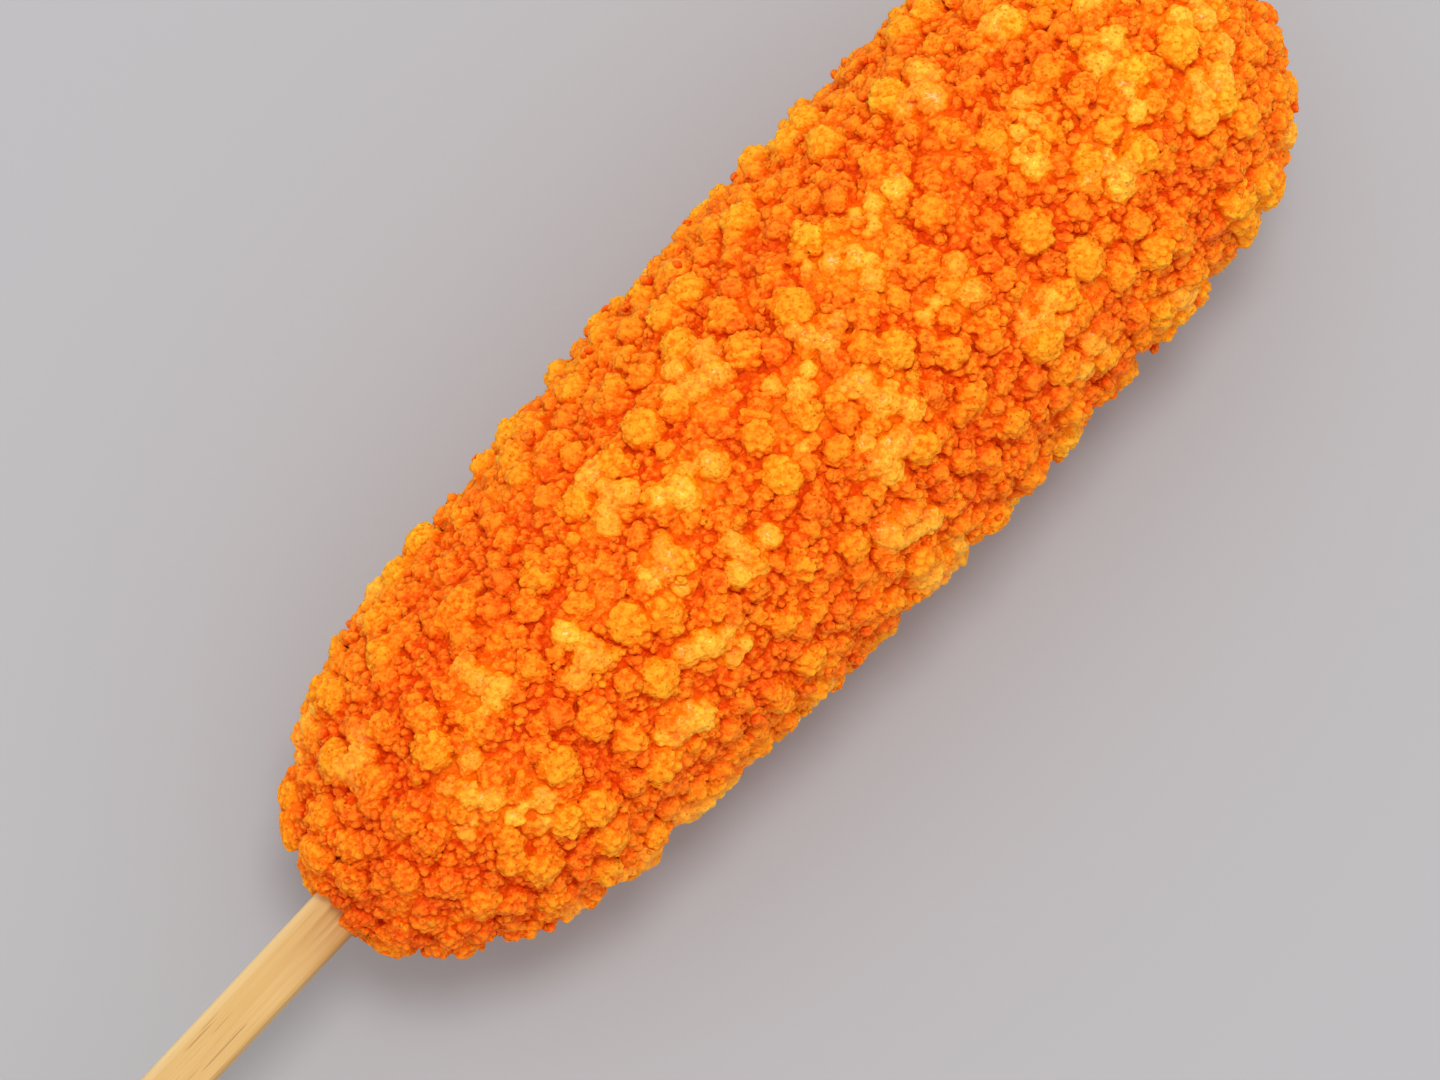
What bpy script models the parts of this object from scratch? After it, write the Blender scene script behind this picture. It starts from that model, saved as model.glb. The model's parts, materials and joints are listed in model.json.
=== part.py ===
"""A crumb-coated corn dog on a flat bamboo stick, lying on its side.

The food is one solid: a turned loaf of batter, a little narrower towards the stick, with the lumps of
its crumb coating standing out all round, and one flat strip underneath, on which it rests. The stick is
a second solid, in a slot along the loaf's axis. +X runs from the stick's free end to the loaf's head,
+Z is up, and the origin is the middle of the whole thing, on the surface that it lies on.
"""

import math

import bpy

# Driving dimensions, in metres.
LOAF_LENGTH = 0.132
HEAD_RADIUS = 0.0208  # batter, without the crumbs, where the loaf is thickest
NECK_RADIUS = 0.0182  # batter, where the rounding at the stick's end begins
NECK_CAP = 0.024  # length of the long rounding at the stick's end
HEAD_CAP = 0.0208  # length of the rounder one at the head
THICKEST_AT = 0.077  # distance of the thickest place from the stick's end
SWELL_POWER = 1.9  # how late the loaf starts to narrow towards the stick
HEAD_TAPER = 0.035  # share of the radius that it loses before the rounding at the head

CRUMB_DEPTH = 0.0028  # how far the tallest clumps of crumb stand above the batter
CRUMB_PITCH = 0.0062  # distance between neighbouring clumps
CRUMB_STEEPNESS = 1.9  # how soon a clump falls off towards its neighbours

STICK_WIDTH = 0.0054
STICK_THICKNESS = 0.0031
STICK_EDGE = 0.0006  # rounding of the stick's edges
STICK_SHOWN = 0.075
STICK_HIDDEN = 0.1
SLOT_GAP = 0.0003  # clearance round the stick inside the loaf

# How finely the loaf is divided.
RINGS_IN_CAP = 14
RINGS_BETWEEN = 52
STEPS_AROUND = 56

CRUMB_COLOUR = (0.83, 0.19, 0.015, 1.0)
BAMBOO_COLOUR = (0.78, 0.52, 0.22, 1.0)


def clear_scene():
    for old in list(bpy.data.objects):
        bpy.data.objects.remove(old)


def new_collection(name):
    made = bpy.data.collections.new(name)
    bpy.context.scene.collection.children.link(made)
    return made


def plain_material(name, colour, roughness):
    made = bpy.data.materials.new(name)
    made.use_nodes = True
    shader = made.node_tree.nodes["Principled BSDF"]
    shader.inputs["Base Color"].default_value = colour
    shader.inputs["Roughness"].default_value = roughness
    shader.inputs["Metallic"].default_value = 0.0
    return made


def side_radius(along):
    """The batter's radius between the two roundings: it swells smoothly from the neck to the thickest
    place, and draws in a little again towards the head."""
    if along < THICKEST_AT:
        share = (THICKEST_AT - along) / (THICKEST_AT - NECK_CAP)
        return HEAD_RADIUS - (HEAD_RADIUS - NECK_RADIUS) * share**SWELL_POWER
    share = (along - THICKEST_AT) / (LOAF_LENGTH - HEAD_CAP - THICKEST_AT)
    return HEAD_RADIUS * (1 - HEAD_TAPER * share**2)


def rounding(from_tip, cap_length):
    """The share of the side's radius that is left at a distance from a tip, inside its rounded cap."""
    share = min(from_tip / cap_length, 1.0)
    return math.sqrt(1 - (1 - share) ** 2)


def batter_radius(along):
    """The batter's radius at a distance from the stick's end: the side's, times both roundings."""
    on_the_side = min(max(along, NECK_CAP), LOAF_LENGTH - HEAD_CAP)
    both = rounding(along, NECK_CAP) * rounding(LOAF_LENGTH - along, HEAD_CAP)
    return side_radius(on_the_side) * both


def stations():
    """Distances along the loaf: equal angles round each cap, and equal lengths between the caps. The
    two tips themselves aren't among them."""
    steps = [math.radians(90) * i / RINGS_IN_CAP for i in range(1, RINGS_IN_CAP)]
    neck = [NECK_CAP * (1 - math.cos(angle)) for angle in steps]
    between = LOAF_LENGTH - NECK_CAP - HEAD_CAP
    side = [NECK_CAP + between * i / RINGS_BETWEEN for i in range(RINGS_BETWEEN + 1)]
    head = [LOAF_LENGTH - HEAD_CAP * (1 - math.cos(angle)) for angle in reversed(steps)]
    return neck + side + head


def add_axis(collection):
    """An empty at the loaf's stick end, with its own +X along the loaf: everything hangs from it. It
    leans a little towards the stick, so that the line under the tapered loaf lies level on z = 0."""
    neck_end, head_end = 1.35 * NECK_CAP, LOAF_LENGTH - HEAD_CAP
    lean = math.atan((side_radius(head_end) - side_radius(neck_end)) / (head_end - neck_end))
    height = HEAD_RADIUS * math.cos(lean) - THICKEST_AT * math.sin(lean)
    axis = bpy.data.objects.new("loaf_axis", None)
    collection.objects.link(axis)
    axis.location = (0.0, 0.0, height)
    axis.rotation_euler = (0.0, -lean, 0.0)
    return axis


def add_loaf(collection, axis):
    """The profile runs in the XZ plane from the head, on top, down to the stick's end. A Screw turns it
    round +Z, and a Displace raises the clumps of crumb. Then it is laid along the axis."""
    tips = (0.0, 0.0, LOAF_LENGTH), (0.0, 0.0, 0.0)
    side = [(batter_radius(along), 0.0, along) for along in reversed(stations())]
    points = [tips[0], *side, tips[1]]
    profile = bpy.data.meshes.new("crumbed_loaf")
    profile.from_pydata(points, [(i, i + 1) for i in range(len(points) - 1)], [])
    loaf = bpy.data.objects.new("crumbed_loaf", profile)
    collection.objects.link(loaf)
    loaf.parent = axis
    loaf.rotation_euler = (0.0, math.radians(90), 0.0)

    turn = loaf.modifiers.new("turn", "SCREW")
    turn.axis = "Z"
    turn.steps = turn.render_steps = STEPS_AROUND
    turn.use_merge_vertices = True
    turn.merge_threshold = 0.00005
    turn.use_smooth_shade = True

    clumps = bpy.data.textures.new("crumb_clumps", "VORONOI")
    clumps.noise_scale = CRUMB_PITCH
    clumps.noise_intensity = CRUMB_STEEPNESS
    clumps.distance_metric = "DISTANCE_SQUARED"
    crust = loaf.modifiers.new("crust", "DISPLACE")
    crust.texture = clumps
    crust.texture_coords = "LOCAL"
    crust.mid_level = 1.0
    crust.strength = -CRUMB_DEPTH
    loaf.data.materials.append(plain_material("crumb", CRUMB_COLOUR, 0.55))
    return loaf


def add_box(name, collection, low, high, axis=None):
    """A box between two corners, in the axis's own coordinates if it hangs from one."""
    bpy.ops.mesh.primitive_cube_add(size=1.0)
    box = bpy.context.active_object
    box.name = box.data.name = name
    for owner in list(box.users_collection):
        owner.objects.unlink(box)
    collection.objects.link(box)
    for vertex in box.data.vertices:
        vertex.co = [a + (b - a) * (part + 0.5) for a, b, part in zip(low, high, vertex.co)]
    box.parent = axis
    return box


def add_stick(collection, axis):
    half_width, half_thickness = STICK_WIDTH / 2, STICK_THICKNESS / 2
    low = (-STICK_SHOWN, -half_width, -half_thickness)
    high = (STICK_HIDDEN, half_width, half_thickness)
    stick = add_box("bamboo_stick", collection, low, high, axis)
    edges = stick.modifiers.new("worn_edges", "BEVEL")
    edges.width = STICK_EDGE
    edges.segments = 3
    stick.data.shade_smooth()
    stick.data.set_sharp_from_angle(angle=math.radians(40))
    stick.data.materials.append(plain_material("bamboo", BAMBOO_COLOUR, 0.5))
    return stick


def add_cutters(collection, axis):
    """A slot for the stick, and the space under the surface that the loaf lies on."""
    outside = 0.02
    half_width, half_thickness = STICK_WIDTH / 2 + SLOT_GAP, STICK_THICKNESS / 2 + SLOT_GAP
    low = (-outside, -half_width, -half_thickness)
    high = (STICK_HIDDEN + SLOT_GAP, half_width, half_thickness)
    slot = add_box("stick_slot", collection, low, high, axis)
    reach = 2 * LOAF_LENGTH
    ground = add_box("under_the_loaf", collection, (-reach, -reach, -HEAD_RADIUS), (reach, reach, 0.0))
    for cutter in (slot, ground):
        cutter.hide_render = True
        cutter.display_type = "WIRE"
    return slot, ground


def cut(body, cutter):
    away = body.modifiers.new("cut_" + cutter.name, "BOOLEAN")
    away.operation = "DIFFERENCE"
    away.solver = "EXACT"
    away.object = cutter


def centre(axis, pieces):
    """Slide the axis along X and Y until the middle of the pieces' common box is over the origin."""
    bpy.context.view_layer.update()
    depsgraph = bpy.context.evaluated_depsgraph_get()
    places = []
    for piece in pieces:
        shown = piece.evaluated_get(depsgraph)
        places += [shown.matrix_world @ vertex.co for vertex in shown.data.vertices]
    for i in (0, 1):
        coordinates = [place[i] for place in places]
        axis.location[i] -= (min(coordinates) + max(coordinates)) / 2


def main():
    clear_scene()
    food = new_collection("corn_dog")
    cutters = new_collection("cutters")
    axis = add_axis(food)
    loaf = add_loaf(food, axis)
    stick = add_stick(food, axis)
    for cutter in add_cutters(cutters, axis):
        cut(loaf, cutter)
    centre(axis, (loaf, stick))


main()
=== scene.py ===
# %% [markdown]
# # A crumb-coated corn dog on a flat bamboo stick
#
# This lesson dresses a plain solid of a corn dog until it looks fried: a loaf of batter, thousands of
# crumbs, small and puffed, clumps of melted cheese, and a planed bamboo stick. Everything is worked
# out from the solid that is loaded here, in metres, with +Z up.

# %% Load the solid
import itertools
import json
import math

import bpy
import numpy as np
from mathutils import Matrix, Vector

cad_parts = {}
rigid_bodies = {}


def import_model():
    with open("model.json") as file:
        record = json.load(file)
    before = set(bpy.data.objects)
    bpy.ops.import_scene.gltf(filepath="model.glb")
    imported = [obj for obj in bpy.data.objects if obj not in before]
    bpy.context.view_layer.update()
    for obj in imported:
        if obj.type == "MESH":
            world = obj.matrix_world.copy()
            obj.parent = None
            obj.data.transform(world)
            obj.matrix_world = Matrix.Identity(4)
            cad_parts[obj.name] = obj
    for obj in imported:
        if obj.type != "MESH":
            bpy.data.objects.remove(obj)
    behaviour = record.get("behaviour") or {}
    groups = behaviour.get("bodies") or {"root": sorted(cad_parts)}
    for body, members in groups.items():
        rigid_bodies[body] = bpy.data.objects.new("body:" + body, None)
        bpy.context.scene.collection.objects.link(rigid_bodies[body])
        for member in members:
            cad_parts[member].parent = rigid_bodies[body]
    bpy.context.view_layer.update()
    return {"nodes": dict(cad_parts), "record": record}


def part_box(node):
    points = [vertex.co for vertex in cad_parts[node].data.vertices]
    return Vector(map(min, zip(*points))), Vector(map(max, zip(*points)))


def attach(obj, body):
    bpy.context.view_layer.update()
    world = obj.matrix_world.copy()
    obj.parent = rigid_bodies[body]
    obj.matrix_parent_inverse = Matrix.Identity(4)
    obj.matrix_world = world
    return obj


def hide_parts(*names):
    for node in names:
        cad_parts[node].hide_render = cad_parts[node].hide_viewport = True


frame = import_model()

MM = 0.001
slots = [material["slot"] for material in frame["record"]["materials"]]
print("solids:", sorted(frame["nodes"]), "material slots:", slots)

# %% [markdown]
# ## Where the loaf and its stick lie
#
# The stick runs through the middle of the loaf, so its two ends give the axis that everything else is
# turned about. The loaf lies on its side, and leans by about a degree, because it is thinner at the
# stick's end. Averaging the corners of each end of the stick finds the axis without a single
# hand-typed position.


# %% Find the axis
def node_points(name):
    """The corners of one solid's mesh, one row each."""
    mesh = frame["nodes"][name].data
    points = np.empty(len(mesh.vertices) * 3)
    mesh.vertices.foreach_get("co", points)
    return points.reshape(-1, 3)


stick_points = node_points("bamboo_stick")
loaf_points = node_points("crumbed_loaf")
end_depth = 1 * MM
stick_low, stick_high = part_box("bamboo_stick")
stick_end = stick_points[stick_points[:, 0] < stick_low.x + end_depth].mean(axis=0)
stick_root = stick_points[stick_points[:, 0] > stick_high.x - end_depth].mean(axis=0)
AXIS = (stick_root - stick_end) / np.linalg.norm(stick_root - stick_end)
NEAR = np.array([0.0, -1.0, 0.0])  # the side that faces the camera
UP = np.cross(NEAR, AXIS)
loaf_along = (loaf_points - stick_end) @ AXIS
loaf_low, loaf_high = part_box("crumbed_loaf")
print("axis:", AXIS.round(4), "loaf from", loaf_along.min().round(4), "to", loaf_along.max().round(4))

# %% [markdown]
# ## The loaf's outline
#
# Batter that is dipped and turned in hot oil sets as a fat rod with two round ends: a long rounding
# where it thins towards the stick, and a nearly half-round head. The outline is a formula, the
# radius at each distance along the axis, and not a row of measured points. The crumbs stand above
# it, so the batter's own radius is the solid's, less the reach of the tallest crumbs.

# %% Outline
CRUMB_REACH = 2.5 * MM
TIP_REACH = 1.9 * MM
LOAF_LENGTH = loaf_along.max() - loaf_along.min() - 2 * TIP_REACH
HEAD_RADIUS = (loaf_high.y - loaf_low.y) / 2 - CRUMB_REACH
NECK_RADIUS = 0.885 * HEAD_RADIUS
NECK_CAP = 0.215 * LOAF_LENGTH
THICKEST_AT = 0.58 * LOAF_LENGTH
TAIL = stick_end + AXIS * (loaf_along.min() + TIP_REACH)


def outline_radius(along):
    """The radius swells from the neck to the thickest place as one minus a power of the distance left
    to it, loses a few hundredths towards the head, and is rounded off at both ends by a quarter of an
    ellipse: the root of one minus the square of the share of the cap that is passed."""
    side = np.clip(along, NECK_CAP, LOAF_LENGTH - HEAD_RADIUS)
    before = np.clip((THICKEST_AT - side) / (THICKEST_AT - NECK_CAP), 0, 1)
    after = np.clip((side - THICKEST_AT) / (LOAF_LENGTH - HEAD_RADIUS - THICKEST_AT), 0, 1)
    swell = HEAD_RADIUS - (HEAD_RADIUS - NECK_RADIUS) * before**1.9 - 0.035 * HEAD_RADIUS * after**2
    neck = np.clip(along / NECK_CAP, 0, 1)
    head = np.clip((LOAF_LENGTH - along) / HEAD_RADIUS, 0, 1)
    return swell * np.sqrt(1 - (1 - neck) ** 2) * np.sqrt(1 - (1 - head) ** 2)


# Close samples near both tips, where the outline turns fastest.
turn = np.linspace(0, math.pi, 2001)
line_along = LOAF_LENGTH * (1 - np.cos(turn)) / 2
line_radius = outline_radius(line_along)
steps = np.hypot(np.diff(line_along), np.diff(line_radius))
line_arc = np.concatenate([[0], np.cumsum(steps)])
ARC = line_arc[-1]
slope_along = np.gradient(line_along, line_arc)
slope_radius = np.gradient(line_radius, line_arc)
print("outline from tip to tip:", round(ARC / MM, 1), "mm, batter radius:", round(HEAD_RADIUS / MM, 1))

# %% [markdown]
# ## From the outline to a place on the loaf
#
# Every crumb needs a place: so far along the outline, so far round, and so high above the batter.
# Stepping out at right angles to the outline keeps crumbs upright on the round ends too. The loaf
# rests on its underside, so whatever would lie below the table is pressed up to it; a soft curve does
# that better than a hard cut, since the crumbs there really are squashed, not sliced.

# %% Places on the loaf
SQUASH = 0.25 * MM


def rest_on_table(points):
    """Heights become k times the logarithm of one plus e to the height over k: unchanged well above
    the table, and flattened to it below."""
    flat = points.copy()
    flat[..., 2] = SQUASH * np.logaddexp(0, points[..., 2] / SQUASH)
    return flat


def loaf_frame(arc, around):
    """Three directions at a place: out of the surface, along the outline towards the head, and round
    the loaf. Out is the outline's slope turned by a right angle."""
    across = np.sin(around)[..., None] * NEAR + np.cos(around)[..., None] * UP
    rise = np.interp(arc, line_arc, slope_radius)[..., None]
    run = np.interp(arc, line_arc, slope_along)[..., None]
    out = run * across - rise * AXIS
    ahead = run * AXIS + rise * across
    return out, ahead, np.cross(out, ahead)


def on_loaf(arc, around, lift):
    """The axis point under the place, plus the radius across the axis, plus the lift along out."""
    across = np.sin(around)[..., None] * NEAR + np.cos(around)[..., None] * UP
    along = np.interp(arc, line_arc, line_along)[..., None]
    radius = np.interp(arc, line_arc, line_radius)[..., None]
    out, _, _ = loaf_frame(arc, around)
    return TAIL + along * AXIS + radius * across + np.asarray(lift)[..., None] * out


def arc_at(along):
    """The distance along the outline at a distance along the axis."""
    return np.interp(along, line_along, line_arc)


# %% [markdown]
# ## A random height for every place
#
# Food is uneven at every size. One kind of unevenness serves for all of it here: random numbers on
# the corners of a lattice of cubes, blended smoothly between. A large lattice decides where the
# batter is thick, and a small one roughens it. It is seeded, so that it is the same each time.


# %% Smooth noise
def smooth_noise(points, size, seed):
    """Each place's cube has eight random corner values; they are averaged by the distances to the
    opposite faces, each eased by three t squared less two t cubed. The result is from 0 to 1."""
    table = np.random.default_rng(seed).random(4096)
    cell = np.asarray(points) / size
    low = np.floor(cell).astype(np.int64)
    ease = cell - low
    ease = ease * ease * (3 - 2 * ease)
    total = 0.0
    for corner in itertools.product((0, 1), repeat=3):
        key = low + corner
        value = table[(key[..., 0] * 7919 + key[..., 1] * 104729 + key[..., 2] * 1299709) % 4096]
        share = np.where(corner, ease, 1 - ease)
        total = total + value * share[..., 0] * share[..., 1] * share[..., 2]
    return total


def smoothstep(low, high, value):
    """0 below low, 1 above high, and three t squared less two t cubed between them."""
    t = np.clip((value - low) / (high - low), 0, 1)
    return t * t * (3 - 2 * t)


# %% [markdown]
# ## Turning arrays into a piece
#
# Every piece is an array of corners and an array of faces, which all have three corners or all have four.
# Three numbers go with each corner for the finish to read: its tone, from red-orange to cheese yellow,
# its lift, from deep in a gap to the top of a crumb, which sets painted shade in the gaps and painted
# light on the tops, and its gloss, how wet it is with fat. Keeping them on the mesh, as attributes, lets
# one material colour thousands of crumbs differently.


# %% Make a piece
def make_piece(name, points, faces, slot, laid=None, normals=None, **numbers):
    """A mesh object at the origin, shaded smooth, that rides on the one body. The faces' own normals
    may be set too, so that two pieces shade alike where they meet."""
    mesh = bpy.data.meshes.new(name)
    mesh.vertices.add(len(points))
    mesh.vertices.foreach_set("co", np.ascontiguousarray(points, np.float32).ravel())
    mesh.loops.add(faces.size)
    mesh.loops.foreach_set("vertex_index", np.ascontiguousarray(faces, np.int32).ravel())
    mesh.polygons.add(len(faces))
    mesh.polygons.foreach_set("loop_start", np.arange(len(faces), dtype=np.int32) * faces.shape[1])
    for label, values in numbers.items():
        layer = mesh.attributes.new(label, "FLOAT", "POINT")
        layer.data.foreach_set("value", np.ascontiguousarray(values, np.float32).ravel())
    if laid is not None:
        flat = mesh.uv_layers.new(name="OFBake")
        flat.data.foreach_set("uv", np.ascontiguousarray(laid, np.float32).ravel())
    mesh.update(calc_edges=True)
    mesh.shade_smooth()
    if normals is not None:
        mesh.normals_split_custom_set_from_vertices(normals)
    piece = bpy.data.objects.new(name, mesh)
    bpy.context.scene.collection.objects.link(piece)
    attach(piece, "root")
    print(name, "has", len(faces) * (faces.shape[1] - 2), "triangles")
    return piece


# %% [markdown]
# ## Where the cheese is
#
# Melted cheese has oozed through the crust in clumps. They catch the eye first, so those on the shown
# side are listed one by one, as a cook would notice them: distance from the stick's end in millimetres,
# degrees from the top towards the near side, length in millimetres, and the direction that the clump
# runs, in degrees from the loaf's length. The rest of the loaf gets random ones.

# %% Cheese clumps
SHOWN_CLUMPS = (
    # along, around, length, direction
    (17, 14, 7.5, -35), (20, 30, 7.0, 10), (25, -8, 5.5, -70), (12, -28, 3.6, 0), (34, 12, 4.2, 20),
    (47, -18, 5.5, -60), (54, -4, 6.0, 15), (52, 22, 4.4, 80), (46, 8, 5.0, -60), (44, 34, 6.0, 35),
    (61, -22, 6.0, -10), (66, 5, 7.5, -40), (72, -5, 4.6, 75), (72, 20, 7.0, 60), (68, 31, 5.0, 0),
    (66, 52, 4.2, 40), (80, -12, 8.5, 45), (86, -18, 5.0, -20), (84, 14, 5.0, 30), (90, 38, 5.0, 60),
    (101, -2, 6.5, -50), (98, -32, 4.6, 20), (104, 22, 5.0, 30), (112, 8, 7.0, -65), (118, 30, 4.4, 0),
    (124, 12, 8.0, -40), (118, -16, 5.0, 40), (108, -30, 4.4, 0), (92, 64, 4.4, 30), (36, 48, 5.0, 20),
)
HIDDEN_CLUMPS = 46
rng = np.random.default_rng(11)
hidden = np.column_stack([
    rng.uniform(8, 126, HIDDEN_CLUMPS),
    rng.uniform(78, 282, HIDDEN_CLUMPS),
    rng.uniform(3.4, 8.0, HIDDEN_CLUMPS),
    rng.uniform(-90, 90, HIDDEN_CLUMPS),
])
clumps = np.vstack([np.array(SHOWN_CLUMPS, float), hidden])
clump_arc = arc_at(clumps[:, 0] * MM)
clump_around = np.radians(clumps[:, 1])
clump_length = clumps[:, 2] * MM
clump_direction = np.radians(clumps[:, 3])
clump_places = on_loaf(clump_arc, clump_around, np.full(len(clumps), 1 * MM))
print(len(SHOWN_CLUMPS), "clumps on the shown side,", HIDDEN_CLUMPS, "on the rest")


def near_cheese(points):
    """1 in the middle of the nearest clump, falling to 0 at about its own length from it, as a bell
    curve of the distance over the clump's length."""
    best = np.zeros(len(points))
    for place, length in zip(clump_places, clump_length):
        gap = np.linalg.norm(points - place, axis=1) / length
        best = np.maximum(best, np.exp(-((gap / 0.75) ** 2)))
    return best


# %% [markdown]
# ## The crust as one skin
#
# Batter and the crumbs that it holds have run together, so they are one skin: a grid with one
# parameter along the outline and the other round it. A plain noise would make hills. Real crumbs are
# balls of every size, half sunk and fused, so the skin is stamped with round bumps in three rounds:
# cheese and puffed crumbs, then small crumbs, then nubs of less than a millimetre. The first round
# goes straight out of the loaf. The later ones lean towards the normals that the round before has
# left, which makes cauliflower, with undercuts, instead of a landscape.

# %% The skin's grid
SKIN_ROWS = 700
SKIN_COLUMNS = 600
row_arcs = np.linspace(0, ARC, SKIN_ROWS + 2)[1:-1]
column_angles = np.linspace(0, 2 * math.pi, SKIN_COLUMNS, endpoint=False)
ROW_STEP = row_arcs[1] - row_arcs[0]
COLUMN_ANGLE = column_angles[1]
row_radii = np.interp(row_arcs, line_arc, line_radius)
grid_arc, grid_around = (part.ravel() for part in np.meshgrid(row_arcs, column_angles, indexing="ij"))
widest = row_radii.max() * COLUMN_ANGLE
print("one square of the skin:", (ROW_STEP / MM).round(2), "by", (widest / MM).round(2), "mm")


def skin_normals(points):
    """The step to the next column crossed with the step to the next row, made one long: it points out."""
    grid = points.reshape(SKIN_ROWS, SKIN_COLUMNS, 3)
    ahead = np.gradient(grid, axis=0)
    sideways = np.roll(grid, -1, axis=1) - np.roll(grid, 1, axis=1)
    normal = np.cross(sideways, ahead)
    normal /= np.linalg.norm(normal, axis=-1)[..., None] + 1e-30
    return normal.reshape(-1, 3)


def pushed_out(points, lift, lean):
    """Corners move by the lift along the skin's normal, which leans by a share towards straight out of
    the loaf, so that neighbouring bumps lean away from each other's foot instead of folding over."""
    out = loaf_frame(grid_arc, grid_around)[0]
    way = (1 - lean) * skin_normals(points) + lean * out
    return points + way / np.linalg.norm(way, axis=1)[:, None] * lift[:, None]


def relaxed(points, rounds):
    """Each corner moves a part of the way to the middle of its four neighbours, but only along the
    skin: the share of the move that is along the normal is taken out. The steep flanks of a bump, where
    the grid was stretched, get more corners so."""
    grid = points.reshape(SKIN_ROWS, SKIN_COLUMNS, 3).copy()
    for _ in range(rounds):
        middle = np.roll(grid, 1, axis=1) + np.roll(grid, -1, axis=1)
        middle[1:-1] += grid[2:] + grid[:-2]
        slide = middle / 4 - grid
        normal = skin_normals(grid).reshape(grid.shape)
        slide -= (slide * normal).sum(axis=-1)[..., None] * normal
        slide[0] = slide[-1] = 0
        grid += 0.6 * slide
    return grid.reshape(-1, 3)


def grid_numbers(arc, around):
    """The row and column of the skin's corner that is nearest to a place."""
    row = np.clip(np.round(arc / ROW_STEP).astype(int) - 1, 0, SKIN_ROWS - 1)
    column = np.round(around / COLUMN_ANGLE).astype(int) % SKIN_COLUMNS
    return row, column


def stamp(points, row, column, radius, rise, tone, power):
    """Round bumps. A corner at a distance d from a bump's middle is raised by the rise plus the root of
    the squared radius less d squared. Where bumps overlap, the raise is the given root of the sum of
    their powers, so that they run together, and their tones are averaged by the same powers."""
    weight, toned = np.zeros(len(points)), np.zeros(len(points))
    need = radius / (row_radii[row] * COLUMN_ANGLE)
    done = 0
    for reach in (4, 8, 16, 32, 64, 128, SKIN_COLUMNS // 2):
        group = (need > done) & ((need <= reach) | (reach == SKIN_COLUMNS // 2))
        done = reach
        if not group.any():
            continue
        rows_away = math.ceil(radius[group].max() / ROW_STEP)
        away = np.arange(-rows_away, rows_away + 1)
        aside = np.arange(-reach, reach + 1)[:SKIN_COLUMNS]
        window_row = row[group, None, None] + away[None, :, None]
        window_column = (column[group, None, None] + aside[None, None, :]) % SKIN_COLUMNS
        inside = (window_row >= 0) & (window_row < SKIN_ROWS)
        number = np.clip(window_row, 0, SKIN_ROWS - 1) * SKIN_COLUMNS + window_column
        middle = points[row[group] * SKIN_COLUMNS + column[group]]
        away_squared = ((points[number] - middle[:, None, None]) ** 2).sum(axis=-1)
        room = np.clip(radius[group, None, None] ** 2 - away_squared, 0, None)
        raised = np.clip(rise[group, None, None] + np.sqrt(room), 0, None) * (room > 0) * inside
        share = (raised / MM) ** power
        weight += np.bincount(number.ravel(), share.ravel(), len(points))
        toned += np.bincount(number.ravel(), (share * tone[group, None, None]).ravel(), len(points))
    return weight ** (1 / power) * MM, toned / (weight + 1e-12)


# %% [markdown]
# ## Places for crumbs
#
# Crumbs fall at random but not on top of each other. Rows at equal steps, each with as many places as
# fit round it, moved a little both ways, are even enough and take one line of arrays for each idea.


# %% Scatter
def scatter(pitch, rng):
    """Rows at equal steps along the outline, each with as many places as fit round it, starting at a
    random angle, and every place moved by up to 0.4 of the pitch both ways."""
    rows = np.arange(0.5 * pitch, ARC, pitch * 0.9)
    room = 2 * math.pi * np.interp(rows, line_arc, line_radius) / pitch
    counts = np.maximum(1, np.round(room)).astype(int)
    row = np.repeat(np.arange(len(rows)), counts)
    step = np.arange(counts.sum()) - np.repeat(np.cumsum(counts) - counts, counts)
    start = rng.random(len(rows))
    arc = rows[row] + rng.uniform(-0.4, 0.4, len(row)) * pitch
    around = 2 * math.pi * (step + start[row] + rng.uniform(-0.4, 0.4, len(row))) / counts[row]
    return np.clip(arc, 0, ARC), around


# %% [markdown]
# ## Film, cheese and puffed crumbs
#
# The first round. Round the cheese, and in a few other places, fat and batter ran over the crumbs in
# a smooth film. A clump of cheese is a bent string of balls with two more at its side, all nearly
# melted into one. Puffed crumbs are balls: the best are three or four millimetres across and golden,
# and the plainer ones between them are smaller and as orange as the batter.

# %% Film
smooth = on_loaf(grid_arc, grid_around, np.zeros(len(grid_arc)))
cheese_nearby = near_cheese(smooth)
film = smoothstep(0.66, 0.8, smooth_noise(smooth, 5 * MM, 21))
film_edge = smooth_noise(smooth, 2.2 * MM, 22)
film = np.maximum(film, smoothstep(0.35, 0.75, cheese_nearby + 0.5 * (film_edge - 0.5)))
film_lift = (0.45 * film - 0.6 + 0.4 * (smooth_noise(smooth, 6 * MM, 23) - 0.5)) * MM
filmed = on_loaf(grid_arc, grid_around, film_lift)

# %% Cheese
rng = np.random.default_rng(51)
STRING_BALLS = 5
SIDE_BALLS = 2
share = np.concatenate([np.linspace(-0.5, 0.5, STRING_BALLS), np.full(SIDE_BALLS, 0.0)])
count = (len(clumps), len(share))
run = share * clump_length[:, None] + rng.normal(scale=0.3 * MM, size=count)
bend = rng.uniform(-1.1, 1.1, (len(clumps), 1)) * (share**2 - 0.1) * clump_length[:, None]
bend = bend + rng.normal(scale=0.45 * MM, size=count)
run[:, STRING_BALLS:] += rng.uniform(-0.4, 0.4, (len(clumps), SIDE_BALLS)) * clump_length[:, None]
bend[:, STRING_BALLS:] += rng.choice([-1, 1], (len(clumps), SIDE_BALLS)) * 1.9 * MM
turn_cos, turn_sin = np.cos(clump_direction)[:, None], np.sin(clump_direction)[:, None]
string_arc = clump_arc[:, None] + run * turn_cos - bend * turn_sin
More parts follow.
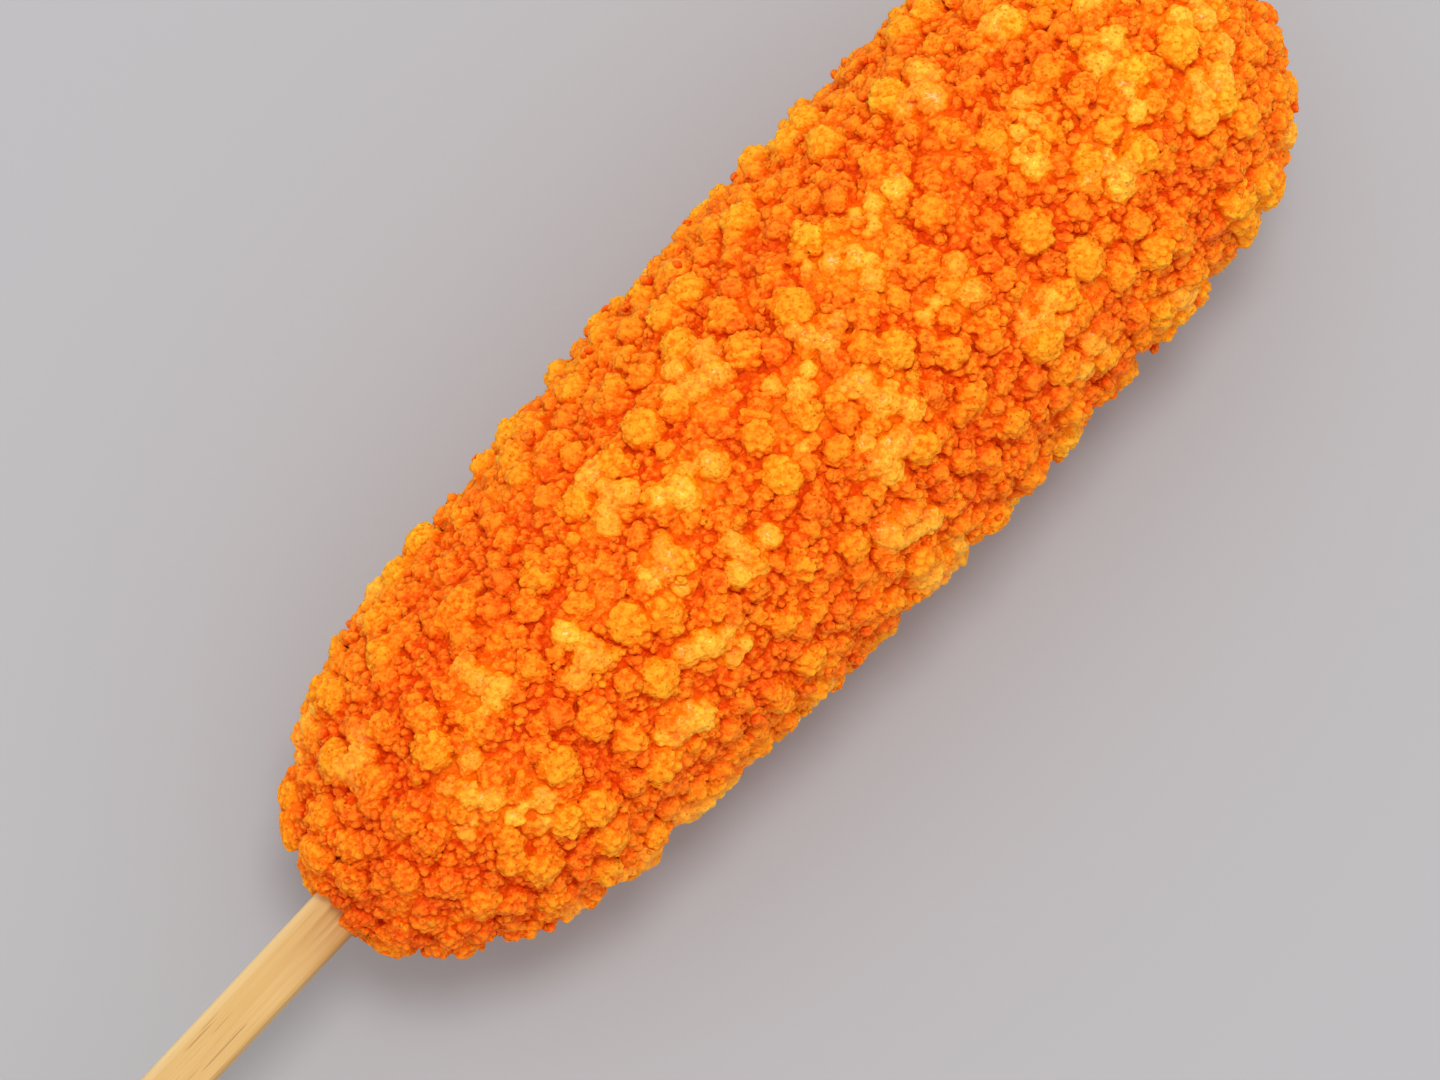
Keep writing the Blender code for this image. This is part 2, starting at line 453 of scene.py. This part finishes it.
clump_radius = np.interp(clump_arc, line_arc, line_radius)[:, None]
string_around = clump_around[:, None] + (run * turn_sin + bend * turn_cos) / clump_radius
cheese_radius = rng.uniform(0.8, 1.8, run.size) * MM
cheese_row, cheese_column = grid_numbers(string_arc.ravel(), string_around.ravel())
cheese_lift, cheese_tones = stamp(
    filmed, cheese_row, cheese_column, cheese_radius, np.zeros(run.size),
    rng.uniform(0.66, 0.98, run.size), 3,
)
print(len(clumps), "clumps of", run.shape[1], "balls of cheese")

# %% Puffed crumbs
rng = np.random.default_rng(31)
golden_arc, golden_around = scatter(6.0 * MM, rng)
plain_arc, plain_around = scatter(3.6 * MM, rng)
puff_row, puff_column = grid_numbers(
    np.append(golden_arc, plain_arc), np.append(golden_around, plain_around)
)
golden = np.arange(len(puff_row)) < len(golden_arc)
luck = rng.random(len(puff_row))
puff_radius = np.where(golden, 1.3 + 0.8 * luck, 0.8 + 0.7 * luck) * MM
puff_tone = np.where(golden, 0.4 + 0.3 * luck, 0.2 + 0.26 * rng.random(len(puff_row)))
puff_tone = np.clip(puff_tone + 0.2 * cheese_nearby[puff_row * SKIN_COLUMNS + puff_column], 0, 0.85)
sunk = film[puff_row * SKIN_COLUMNS + puff_column]
puff_rise = puff_radius * (rng.uniform(0.0, 0.4, len(puff_row)) - 0.3 * sunk)
puff_lift, puff_tones = stamp(filmed, puff_row, puff_column, puff_radius, puff_rise, puff_tone, 7)
first_lift = ((cheese_lift / MM) ** 4 + (puff_lift / MM) ** 4) ** 0.25 * MM
cheesy = smoothstep(0.1, 0.8, cheese_lift / MM) * smoothstep(-0.3, 0.2, (cheese_lift - puff_lift) / MM)
first = relaxed(pushed_out(filmed, first_lift, 1.0), 24)
print(golden.sum(), "golden crumbs and", (~golden).sum(), "plain ones")

# %% [markdown]
# ## Small crumbs and nubs
#
# The next round is thousands of crumbs of about a millimetre, fewer where film or cheese drowns them.
# The last is their nubs, which cover the puffed crumbs and, more faintly, the cheese. The tallest
# crumbs would then reach past the solid that they stand for, so they are pressed in a little. A soft
# curve does it, as on the table, and a small margin allows for crumbs that lean sideways.

# %% Last rounds
rng = np.random.default_rng(41)
small_arc, small_around = scatter(1.15 * MM, rng)
small_row, small_column = grid_numbers(small_arc, small_around)
corner = small_row * SKIN_COLUMNS + small_column
drowned = np.clip(0.8 * film[corner] + cheesy[corner], 0, 1)
keep = rng.random(len(corner)) > 0.7 * drowned
small_row, small_column, drowned, corner = (
    part[keep] for part in (small_row, small_column, drowned, corner)
)
small_radius = rng.uniform(0.35, 0.85, len(corner)) * MM * (1 - 0.3 * drowned)
small_tone = np.clip(0.14 + 0.24 * rng.random(len(corner)) + 0.25 * cheese_nearby[corner], 0, 1)
small_lift, small_tones = stamp(
    first, small_row, small_column, small_radius, -0.05 * small_radius, small_tone, 5
)
small_lift *= 1 - 0.55 * np.clip(cheesy + smoothstep(0.4, 0.9, puff_lift / MM), 0, 1)
second = relaxed(pushed_out(first, small_lift, 0.45), 8)

nub_arc, nub_around = scatter(0.68 * MM, rng)
nub_row, nub_column = grid_numbers(nub_arc, nub_around)
corner = nub_row * SKIN_COLUMNS + nub_column
nub_radius = rng.uniform(0.27, 0.5, len(corner)) * MM
wet = np.clip(film * (1 - smoothstep(0.1, 0.5, puff_lift / MM)) + cheesy, 0, 1)
nub_lift, nub_tones = stamp(
    second, nub_row, nub_column, nub_radius, -0.12 * nub_radius, rng.random(len(corner)), 6
)
nub_lift *= 1 - 0.4 * wet
REACH_MARGIN = 0.15 * MM
sideways = np.interp(grid_arc, line_arc, slope_along)
reach = TIP_REACH + (CRUMB_REACH - TIP_REACH) * sideways - REACH_MARGIN


def under_reach(points, softness):
    """The tallest crumbs are pressed in. A height h over the batter becomes the reach r less k times the
    logarithm of one plus e to (r - h) over k, where k is the softness: unchanged well below the reach,
    and never above it. The reach is less at the two tips than along the side."""
    out = loaf_frame(grid_arc, grid_around)[0]
    high = ((points - smooth) * out).sum(axis=1)
    pressed = reach - softness * np.logaddexp(0, (reach - high) / softness)
    return points + (pressed - high)[:, None] * out


NUB_LEAN = 0.3
CAP_SOFTNESS = 0.2 * MM
skin = under_reach(pushed_out(second, nub_lift, NUB_LEAN), CAP_SOFTNESS)
print(len(small_row), "small crumbs and", len(nub_row), "nubs")

# %% [markdown]
# ## What colour the skin is
#
# Two numbers decide the colour of fried crust. One is what a place is made of: plain crumb, a golden one,
# or cheese; it also rises towards the head, falls towards the tail, and is raised on the far side as
# painted light. The other is whether it stands out or lies in a gap: gaps are painted darker and redder,
# as painted shade, and tops paler, as painted light. Being in a gap means being lower than the average
# round about, so the skin's height is compared with a blurred copy of itself.


# %% Tone and lift
def blurred(values, distance):
    """The mean over a window of rows and columns that is about the distance wide both ways."""
    grid = values.reshape(SKIN_ROWS, SKIN_COLUMNS)
    half = max(1, round(distance / ROW_STEP / 2))
    for axis in (0, 1):
        padding = [(0, 0), (0, 0)]
        padding[axis] = (half + 1, half)
        padded = np.pad(grid, padding, mode="wrap" if axis else "edge")
        sums = np.cumsum(padded, axis=axis)
        count = 2 * half + 1
        if axis:
            grid = (sums[:, count:] - sums[:, :-count]) / count
        else:
            grid = (sums[count:] - sums[:-count]) / count
    return grid.ravel()


height = ((skin - smooth) * loaf_frame(grid_arc, grid_around)[0]).sum(axis=1) / MM
# painted shade and light: places lower than their surroundings get a low lift, painted darker and redder,
# and higher places a high lift, painted paler
painted_shade_lift = 0.36 + 0.06 * wet
for share, distance in ((0.16, 3.2), (0.46, 1.5), (1.0, 0.7)):
    painted_shade_lift = painted_shade_lift + share * (height - blurred(height, distance * MM))
small_share = np.clip(small_lift / (first_lift + small_lift + 0.1 * MM), 0, 1)
skin_tone = 0.2 + 0.36 * film + 0.2 * cheese_nearby
skin_tone = skin_tone * (1 - small_share) + small_tones * small_share
puffy = smoothstep(0.05, 0.45, puff_lift / MM) * (1 - 0.4 * small_share)
skin_tone = skin_tone * (1 - puffy) + puff_tones * puffy
skin_tone = skin_tone + (cheese_tones - skin_tone) * cheesy
skin_tone = blurred(skin_tone, 0.9 * MM) + 0.16 * (smooth_noise(smooth, 7 * MM, 24) - 0.5)
skin_tone = skin_tone + 0.08 * (nub_tones - 0.5)
along = np.interp(grid_arc, line_arc, line_along)
# The tone rises towards the head and falls towards the tail.
skin_tone += 0.12 * smoothstep(0.68, 0.98, along / LOAF_LENGTH)
skin_tone -= 0.1 * smoothstep(0.25, 0.0, along / LOAF_LENGTH)
# painted light: the far side is painted paler, towards golden
skin_tone += 0.17 * smoothstep(0.5, 0.95, -np.sin(grid_around))
painted_shade_lift = np.clip(painted_shade_lift, 0, 1)
print("height above the batter:", height.min().round(2), "to", height.max().round(2), "mm")

# %% [markdown]
# ## The skin in five strips
#
# So fine a skin is handed on in five strips from tip to tip, each a closed body like the segment of
# an orange: behind the skin, a wall runs from each long edge straight down to a rail near the axis,
# where the two walls meet, out of sight. Each strip is laid flat in the image that it may be painted
# on later, in two halves side by side, because it is six times as long as it is wide.

# %% Strips of crust
STRIPS = 5
LAID = 0.98
RAIL_SHARE = 0.88
settled = rest_on_table(skin)
settled_normals = skin_normals(settled)
row_along = np.concatenate([[0], np.interp(row_arcs, line_arc, line_along), [LOAF_LENGTH]])
rail = TAIL + (LOAF_LENGTH / 2 + (row_along - LOAF_LENGTH / 2) * RAIL_SHARE)[:, None] * AXIS


def skin_strip(first_column, columns):
    """Corners and triangles between two columns, with both tips, and the two walls behind. Each square
    of the grid is split in two. A wall's triangles run along the skin's edge the other way round."""
    column = (first_column + np.arange(columns + 1)) % SKIN_COLUMNS
    chosen = (np.arange(SKIN_ROWS)[:, None] * SKIN_COLUMNS + column[None, :]).ravel()
    wide = columns + 1
    row, place = np.meshgrid(np.arange(SKIN_ROWS - 1), np.arange(columns), indexing="ij")
    here = (row * wide + place).ravel()
    beside, beyond, far = here + 1, here + wide + 1, here + wide
    tail_tip, head_tip, first_rail = len(chosen) + np.arange(3)
    low = np.arange(columns)
    high = (SKIN_ROWS - 1) * wide + low
    faces = np.vstack([
        np.stack([here, beside, beyond, here, beyond, far], axis=-1).reshape(-1, 3),
        np.column_stack([np.full(columns, tail_tip), low + 1, low]),
        np.column_stack([np.full(columns, head_tip), high, high + 1]),
    ])
    down = first_rail + np.arange(SKIN_ROWS + 2)
    left = np.concatenate([[tail_tip], np.arange(SKIN_ROWS) * wide, [head_tip]])
    right = np.concatenate([[tail_tip], np.arange(SKIN_ROWS) * wide + columns, [head_tip]])
    walls = np.vstack([
        np.column_stack([left[:-1], left[1:], down[:-1]]),
        np.column_stack([left[1:], down[1:], down[:-1]]),
        np.column_stack([right[1:], right[:-1], down[1:]]),
        np.column_stack([right[:-1], down[:-1], down[1:]]),
    ])
    tips = [settled[:SKIN_COLUMNS].mean(axis=0), settled[-SKIN_COLUMNS:].mean(axis=0)]
    points = np.vstack([settled[chosen], tips, rail])
    normals = np.vstack([settled_normals[chosen], [-AXIS, AXIS], np.tile(UP, (len(rail), 1))])
    across = np.append(np.tile(np.arange(wide) / columns, SKIN_ROWS), [0.5, 0.5])
    along = np.append(np.repeat((np.arange(SKIN_ROWS) + 1) / (SKIN_ROWS + 1), wide), [0, 1])
    half = (along[faces].mean(axis=1) > 0.5).astype(float)[:, None]
    laid = np.stack([
        (0.01 + LAID * across[faces]) / 2 + half / 2,
        0.005 + LAID * (2 * along[faces] - half),
    ], axis=-1)
    behind = np.tile([[0.1, 0.992], [0.2, 0.992], [0.15, 0.998]], (len(walls), 1, 1))
    hidden = np.zeros(len(rail))
    numbers = {
        "tone": np.concatenate([skin_tone[chosen], skin_tone[[0, -1]], hidden]),
        # lift carries the painted shade in the gaps and the painted light on the tops
        "lift": np.concatenate([painted_shade_lift[chosen], [0.5, 0.5], hidden]),
        "gloss": np.concatenate([0.04 * wet[chosen] + 0.26 * cheesy[chosen], [0, 0], hidden]),
    }
    return points, np.vstack([faces, walls]), normals, np.vstack([laid, behind]), numbers


for number in range(STRIPS):
    points, faces, normals, laid, numbers = skin_strip(
        number * SKIN_COLUMNS // STRIPS, SKIN_COLUMNS // STRIPS
    )
    make_piece(
        f"crust_{number + 1}", points, faces, "crumb_coating", laid=laid, normals=normals, **numbers
    )
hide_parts("crumbed_loaf")

# %% [markdown]
# ## One crumb
#
# A nub of a loose crumb is a ball made of the six sides of a cube, each a small grid of two parameters
# pushed out to the sphere. Unlike a ball of rings, it has no crowded poles. Two by two squares a side
# give 24 faces, enough for something so small that there are thousands of.


# %% The crumb's grid
def crumb_ball(cuts):
    """On each side of a cube, the tangents of equally spaced angles give the grid, and dividing by the
    distance from the middle makes it round. Corners that sides share are merged."""
    angle = np.linspace(-math.pi / 4, math.pi / 4, cuts + 1)
    u, v = np.meshgrid(np.tan(angle), np.tan(angle), indexing="ij")
    one = np.ones_like(u)
    sides = []
    for i in range(3):
        for sign in (1, -1):
            sides.append(np.roll(np.stack([sign * one, sign * u, v], axis=-1), i, axis=-1))
    places = np.array(sides).reshape(-1, 3)
    places /= np.linalg.norm(places, axis=1)[:, None]
    corners, number = np.unique(places.round(6), axis=0, return_inverse=True)
    number = number.reshape(6, cuts + 1, cuts + 1)
    rings = [number[:, :-1, :-1], number[:, 1:, :-1], number[:, 1:, 1:], number[:, :-1, 1:]]
    faces = np.stack(rings, axis=-1).reshape(-1, 4)
    corners /= np.linalg.norm(corners, axis=1)[:, None]
    return corners, faces


NUB_BALL = crumb_ball(2)
print("a nub has", len(NUB_BALL[1]), "faces")

# %% [markdown]
# ## Many crumbs at once
#
# Thousands of crumbs are one array: the ball's corners, stretched and turned at random, made
# lopsided by a few soft bumps, times each crumb's size, plus its place. A loop over crumbs would be
# slower and longer to read.


# %% Many crumbs
def random_turns(count, rng):
    """Random rotations from random quaternions, written out as three by three matrices."""
    q = rng.normal(size=(count, 4))
    w, x, y, z = (q / np.linalg.norm(q, axis=1)[:, None]).T
    rows = [
        [1 - 2 * (y * y + z * z), 2 * (x * y - z * w), 2 * (x * z + y * w)],
        [2 * (x * y + z * w), 1 - 2 * (x * x + z * z), 2 * (y * z - x * w)],
        [2 * (x * z - y * w), 2 * (y * z + x * w), 1 - 2 * (x * x + y * y)],
    ]
    return np.array(rows).transpose(2, 0, 1)


def many_crumbs(ball, centres, radii, outward, rng, lumps=4, lump_height=0.35, stretch=0.18):
    """A corner's distance from its crumb's middle is the radius times one, plus for each of a few random
    directions a lump that falls off as the fourth power of the cosine of the angle to it. The lift is how
    much a corner faces outward, and how much it is on a lump: the finish paints corners that face the
    loaf darker, as painted shade, and outward ones and lumps paler, as painted light."""
    corners, faces = ball
    count = len(centres)
    directions = rng.normal(size=(count, lumps, 3))
    directions /= np.linalg.norm(directions, axis=2)[..., None]
    heights = rng.uniform(0.3, 1, (count, lumps)) * lump_height
    cosines = np.clip(np.einsum("vk,clk->cvl", corners, directions), 0, 1)
    lump = (cosines**4 * heights[:, None, :]).sum(axis=2)
    swell = 1 - 0.3 * lump_height + lump
    shape = corners[None] * swell[..., None] * rng.uniform(1 - stretch, 1 + stretch, (count, 1, 3))
    shape = np.einsum("cij,cvj->cvi", random_turns(count, rng), shape)
    points = centres[:, None, :] + radii[:, None, None] * shape
    facing = np.einsum("cvk,ck->cv", shape, outward)
    # painted shade and light: corners facing away from the loaf and on lumps get a high lift, painted
    # paler; those facing the loaf a low one, painted darker
    lift = np.clip(0.42 + 0.4 * facing + (lump - 0.4 * lump_height), 0, 1)
    numbers = faces[None] + (np.arange(count) * len(corners))[:, None, None]
    return points, numbers, lift


# %% [markdown]
# ## Room for the stick
#
# At the thin end the stick comes out of the batter, and no crumb sits where the wood is. A box round
# the wood, checked against every place at once, is enough to tell which crumbs to leave out.

# %% Room for the stick
STICK_WIDTH = stick_high.y - stick_low.y
STICK_THICKNESS = 3.1 * MM
STICK_MOUTH = 4 * MM  # how far into the loaf's thin end the wood can be seen


def clear_of_stick(points, margin):
    """True where a place is outside a box round the stick, in front of the loaf's thin end."""
    gap = points - TAIL
    sideways = np.abs(gap @ NEAR) < STICK_WIDTH / 2 + margin
    upright = np.abs(gap @ UP) < STICK_THICKNESS / 2 + margin
    return ~((gap @ AXIS < STICK_MOUTH) & sideways & upright)


# %% [markdown]
# ## Loose crumbs
#
# On top of the crust sit crumbs that only just stuck, and give it a broken edge against the light.
# Each is a tight bunch of a few lopsided nubs, so that no two are alike.

# %% Loose crumbs
rng = np.random.default_rng(43)
BUNCH = 4  # nubs in each loose crumb
LOOSE_PITCH = 4.55 * MM
BUNCH_REACH = 1.4  # how far a bunch reaches from its place, in its own radii
loose_arc, loose_around = scatter(LOOSE_PITCH, rng)
row, column = grid_numbers(loose_arc, loose_around)
corner = row * SKIN_COLUMNS + column
loose_radius = rng.uniform(0.55, 1.15, len(corner)) * MM
loose_height = np.minimum(
    height[corner] * MM + 0.2 * loose_radius, reach[corner] - BUNCH_REACH * loose_radius
)
places = on_loaf(loose_arc, loose_around, loose_height)
keep = clear_of_stick(places, 0.9 * MM) & (rng.random(len(corner)) > 0.9 * wet[corner])
places, loose_radius = places[keep], loose_radius[keep]
loose_out = np.repeat(loaf_frame(loose_arc[keep], loose_around[keep])[0], BUNCH, axis=0)
ways = rng.normal(size=(len(places), BUNCH, 3))
ways /= np.linalg.norm(ways, axis=2)[..., None]
middles = (places[:, None] + ways * loose_radius[:, None, None] * 0.5).reshape(-1, 3)
nub_sizes = np.repeat(loose_radius, BUNCH) * rng.uniform(0.42, 0.68, len(middles))
loose_tone = np.clip(0.1 + 0.4 * rng.random(len(places)) + 0.25 * near_cheese(places), 0, 1)
loose_tone = np.repeat(loose_tone, BUNCH) + rng.normal(scale=0.05, size=len(middles))
points, faces, lift = many_crumbs(NUB_BALL, middles, nub_sizes, loose_out, rng, lump_height=0.3)
corners = points.shape[1]
make_piece(
    "loose_crumbs", rest_on_table(points.reshape(-1, 3)), faces.reshape(-1, 4), "crumb_coating",
    tone=np.repeat(loose_tone, corners), lift=lift, gloss=np.zeros(lift.size),
)
print(len(places), "loose crumbs")

# %% [markdown]
# ## Shader sums in Python
#
# A finish is a graph of nodes. Written as Python sums it reads like the formula that it is: this
# class stands for one output, and adding or multiplying it adds the node that does so.


# %% Shader sums
class Flow:
    """One output of a finish's graph."""

    def __init__(self, finish, socket):
        self.finish = finish
        self.socket = socket

    def math(self, operation, first, second):
        return self.finish.node("ShaderNodeMath", {"operation": operation}, {0: first, 1: second})

    def __add__(self, other):
        return self.math("ADD", self, other)

    __radd__ = __add__

    def __sub__(self, other):
        return self.math("SUBTRACT", self, other)

    def __rsub__(self, other):
        return self.math("SUBTRACT", other, self)

    def __mul__(self, other):
        return self.math("MULTIPLY", self, other)

    __rmul__ = __mul__


class Finish:
    """A material in the making. Settings go on a node first, then what its sockets take."""

    def __init__(self, name, constants):
        self.material = bpy.data.materials.new(name)
        self.material.use_nodes = True
        self.tree = self.material.node_tree
        self.shader = self.tree.nodes["Principled BSDF"]
        for socket, value in constants.items():
            self.shader.inputs[socket].default_value = value

    def plug(self, socket, value):
        if isinstance(value, Flow):
            self.tree.links.new(value.socket, socket)
        else:
            socket.default_value = value

    def node(self, kind, settings, sockets, output=0):
        made = self.tree.nodes.new(kind)
        for key, value in settings.items():
            if key == "stops":
                ramp = made.color_ramp.elements
                while len(ramp) < len(value):
                    ramp.new(1.0)
                for stop, (position, colour) in zip(ramp, value):
                    stop.position = position
                    stop.color = colour
            else:
                setattr(made, key, value)
        for key, value in sockets.items():
            self.plug(made.inputs[key], value)
        return Flow(self, made.outputs[output])

    def attribute(self, name):
        return self.node("ShaderNodeAttribute", {"attribute_name": name}, {}, "Fac")

    def places(self):
        return self.node("ShaderNodeTexCoord", {}, {}, "Object")

    def noise(self, size, detail=2.0):
        sockets = {"Vector": self.places(), "Scale": 1 / size, "Detail": detail}
        return self.node("ShaderNodeTexNoise", {}, sockets)

    def pits(self, size):
        """Distance to the middle of the nearest cell, the cells being about that size."""
        sockets = {"Vector": self.places(), "Scale": 1 / size}
        return self.node("ShaderNodeTexVoronoi", {"feature": "F1"}, sockets)

    def ramp(self, value, stops):
        return self.node("ShaderNodeValToRGB", {"stops": stops}, {"Fac": value})

    def mix(self, share, first, second):
        """The first colour, passing to the second. The node's colours are its sockets 6 and 7."""
        sockets = {"Factor": share, 6: first, 7: second}
        return self.node("ShaderNodeMix", {"data_type": "RGBA"}, sockets, 2)

    def bump(self, height, distance):
        return self.node("ShaderNodeBump", {}, {"Height": height, "Distance": distance})

    def paint(self, **links):
        for socket, value in links.items():
            self.plug(self.shader.inputs[socket.replace("_", " ")], value)
        return self.material


# %% [markdown]
# ## The fried finish
#
# Fried crumbs are painted deep red-orange in the gaps, as painted shade, and paler at their tips, as
# painted light, with darker pores as painted shade, a grain finer than the crumbs themselves and a thin
# gloss of oil. Colours are given as they look, and turned into the linear values that a shader wants.


# %% Colours
def colour(hex_code):
    """A screen colour as linear red, green and blue: each share is raised to 2.4 after the usual
    offset, except near black."""
    shares = [int(hex_code[i : i + 2], 16) / 255 for i in (0, 2, 4)]
    linear = [((s + 0.055) / 1.055) ** 2.4 if s > 0.04045 else s / 12.92 for s in shares]
    return (*linear, 1.0)


# The tip and gap colours are the same crumb colours, painted lit and painted in shade.
LIT_TIPS = [
    (0.0, colour("f66c14")),
    (0.25, colour("fc7e18")),
    (0.5, colour("ff941c")),
    (0.75, colour("ffa824")),
    (1.0, colour("ffc034")),
]
SHADED_GAPS = [
    (0.0, colour("d83600")),
    (0.25, colour("e44800")),
    (0.5, colour("f06200")),
    (0.75, colour("f87c00")),
    (1.0, colour("fc9200")),
]
PORE_SHADE = [(0.0, colour("b83400")), (1.0, colour("d27c0c"))]


def fried(name, pore, grain):
    finish = Finish(name, {
        "Roughness": 0.5,
        "Subsurface Weight": 0.3,
        "Subsurface Radius": (1.0, 0.35, 0.03),
        "Subsurface Scale": 0.7 * MM,
        "Specular IOR Level": 0.05,
        "Coat Roughness": 0.14,
    })
    pore_dip_and_shade = finish.node(
        "ShaderNodeMapRange", {"interpolation_type": "SMOOTHSTEP"},
        {"Value": finish.pits(pore), "From Min": 0.06, "From Max": 0.3, "To Min": 1.0, "To Max": 0.0},
    )
    grains = finish.pits(grain)
    fine = finish.noise(0.25 * MM) - 0.5
    tone = finish.attribute("tone") + 0.35 * (finish.noise(0.8 * MM) - 0.5)
    # painted shade and light: the lift, with finer grains and noise, sets how lit a place is painted
    painted_light_level = finish.attribute("lift") + 0.55 * (0.45 - grains) + 0.9 * fine
    painted_light_share = finish.node(
        "ShaderNodeMapRange", {"interpolation_type": "SMOOTHSTEP"},
        {"Value": painted_light_level, "From Min": 0.0, "From Max": 0.95},
    )
    # painted shade in the gaps and painted light on the tips
    crumb = finish.mix(painted_light_share, finish.ramp(tone, SHADED_GAPS), finish.ramp(tone, LIT_TIPS))
    height = 0.6 * fine - 0.7 * grains - 0.8 * pore_dip_and_shade
    return finish.paint(
        # painted shade: the middles of pores are painted darker with the pore colours
        Base_Color=finish.mix(0.6 * pore_dip_and_shade, crumb, finish.ramp(tone, PORE_SHADE)),
        Coat_Weight=finish.attribute("gloss"),
        Normal=finish.bump(height, 0.12 * MM),
    )


PORE = 0.62 * MM
GRAIN = 0.4 * MM
crumb_finish = fried("fried_crumb", PORE, GRAIN)
for piece in bpy.data.objects:
    if piece.name.startswith(("crust", "loose_crumbs")):
        piece.data.materials.append(crumb_finish)

# %% [markdown]
# ## The stick
#
# The solid's stick already has the right shape, a planed strip with rounded edges, so it stays, and only
# its finish is new. Bamboo is all fibres that run from end to end. Noise that is stretched forty times
# along the strip gives them, once broad, once fine, and once as sparse brown streaks. The far edge is
# painted paler, as painted light, and hot fat has stained the wood where it leaves the crust.

# %% Stick
EDGE = STICK_WIDTH / 2
bamboo = Finish("planed_bamboo", {"Specular IOR Level": 0.25})


def fibres(length, width, detail):
    """Noise in cells as long as the length and as wide as the width, turned to run along the stick."""
    turned = bamboo.node("ShaderNodeMapping", {}, {
        "Vector": bamboo.places(),
        "Rotation": (0, math.asin(AXIS[2]), 0),
        "Scale": (1 / length, 1 / width, 0.5 / width),
    })
    return bamboo.node("ShaderNodeTexNoise", {}, {"Vector": turned, "Scale": 1, "Detail": detail})


def between(value, low, high):
    """0 below low and 1 above high, eased between."""
    sockets = {"Value": value, "From Min": low, "From Max": high}
    return bamboo.node("ShaderNodeMapRange", {"interpolation_type": "SMOOTHSTEP"}, sockets)


stick_x = bamboo.node("ShaderNodeSeparateXYZ", {}, {"Vector": bamboo.places()})
stick_y = Flow(bamboo, stick_x.socket.node.outputs["Y"])
fine_fibres = fibres(16 * MM, 0.3 * MM, 3)
streaks = between(fibres(9 * MM, 0.22 * MM, 1), 0.66, 0.76)
wood = bamboo.ramp(fibres(45 * MM, 1.6 * MM, 1) * 0.6 + fine_fibres * 0.4, [
    (0.3, colour("be9152")), (0.5, colour("cba364")), (0.7, colour("d4b17a")),
])
wood = bamboo.mix(streaks * 0.5, wood, colour("966a34"))
# painted light: the far edge of the stick is painted paler
wood = bamboo.mix(between(stick_y, 0.45 * EDGE, EDGE) * 0.75, wood, colour("e0c794"))
stained_end = between(stick_x, TAIL[0] - 12 * MM, TAIL[0] + 3 * MM)
stain = stained_end * between(fine_fibres - stick_y * 90, 0.3, 0.75)
wood = bamboo.mix(stain * 0.8, wood, colour("a66a28"))
stick = frame["nodes"]["bamboo_stick"]
stick.data.materials.clear()
stick.data.materials.append(bamboo.paint(
    Base_Color=wood,
    Roughness=fine_fibres * 0.3 + 0.4,
    Normal=bamboo.bump(fine_fibres - 0.6 * streaks, 0.06 * MM),
))

# %% [markdown]
# ## Floor, light and camera
#
# The food lies on a plain pale floor. White light from all round keeps the gaps between crumbs from
# going black, and one round softbox far above adds the soft shadows that show their shape. It is
# small beside its distance, so that wet cheese has small bright glints. The camera looks down on the
# shown side through a long lens, which keeps the far end as wide as the near one.

# %% Floor
bpy.ops.mesh.primitive_plane_add(size=4)
floor = bpy.context.active_object
floor.name = "pale_floor"
plain = Finish("pale_floor", {"Roughness": 0.9, "Base Color": colour("a9a8aa")})
floor.data.materials.append(plain.material)

# %% Light
world = bpy.data.worlds.new("soft_room")
bpy.context.scene.world = world
world.use_nodes = True
world.node_tree.nodes["Background"].inputs["Color"].default_value = (1.0, 1.0, 1.0, 1.0)
world.node_tree.nodes["Background"].inputs["Strength"].default_value = 0.95


def add_softbox(name, place, target, size, power):
    light = bpy.data.lights.new(name, "AREA")
    light.shape = "DISK"
    light.size = size
    light.energy = power
    lamp = bpy.data.objects.new(name, light)
    lamp.location = place
    lamp.rotation_euler = (Vector(target) - Vector(place)).to_track_quat("-Z", "Y").to_euler()
    bpy.context.scene.collection.objects.link(lamp)
    return lamp


SOFTBOX_FROM_LOAF = Vector((0.1, 0.03, 0.8))
SOFTBOX_SIZE = 0.25
SOFTBOX_WATTS = 2.75
middle = Vector(TAIL + AXIS * LOAF_LENGTH / 2)
add_softbox("softbox", middle + SOFTBOX_FROM_LOAF, middle, SOFTBOX_SIZE, SOFTBOX_WATTS)

# %% Camera
ELEVATION = math.radians(80)
HEADING = math.radians(-47.2)
LENS = 100.0
SENSOR = 36.0
VIEW_WIDTH = 147 * MM
distance = VIEW_WIDTH * LENS / SENSOR
look = Vector((
    -math.sin(HEADING) * math.cos(ELEVATION),
    math.cos(HEADING) * math.cos(ELEVATION),
    -math.sin(ELEVATION),
))
AIM_ALONG = 53.5 * MM
AIM_NEARER = 2.6 * MM
aim = Vector(TAIL + AXIS * AIM_ALONG + NEAR * AIM_NEARER)
camera = bpy.data.objects.new("camera", bpy.data.cameras.new("camera"))
camera.data.lens = LENS
camera.data.sensor_width = SENSOR
camera.data.clip_start = 0.01
camera.location = aim - look * distance
camera.rotation_euler = look.to_track_quat("-Z", "Y").to_euler()
bpy.context.scene.collection.objects.link(camera)
bpy.context.scene.camera = camera
bpy.context.scene.view_settings.view_transform = "Standard"
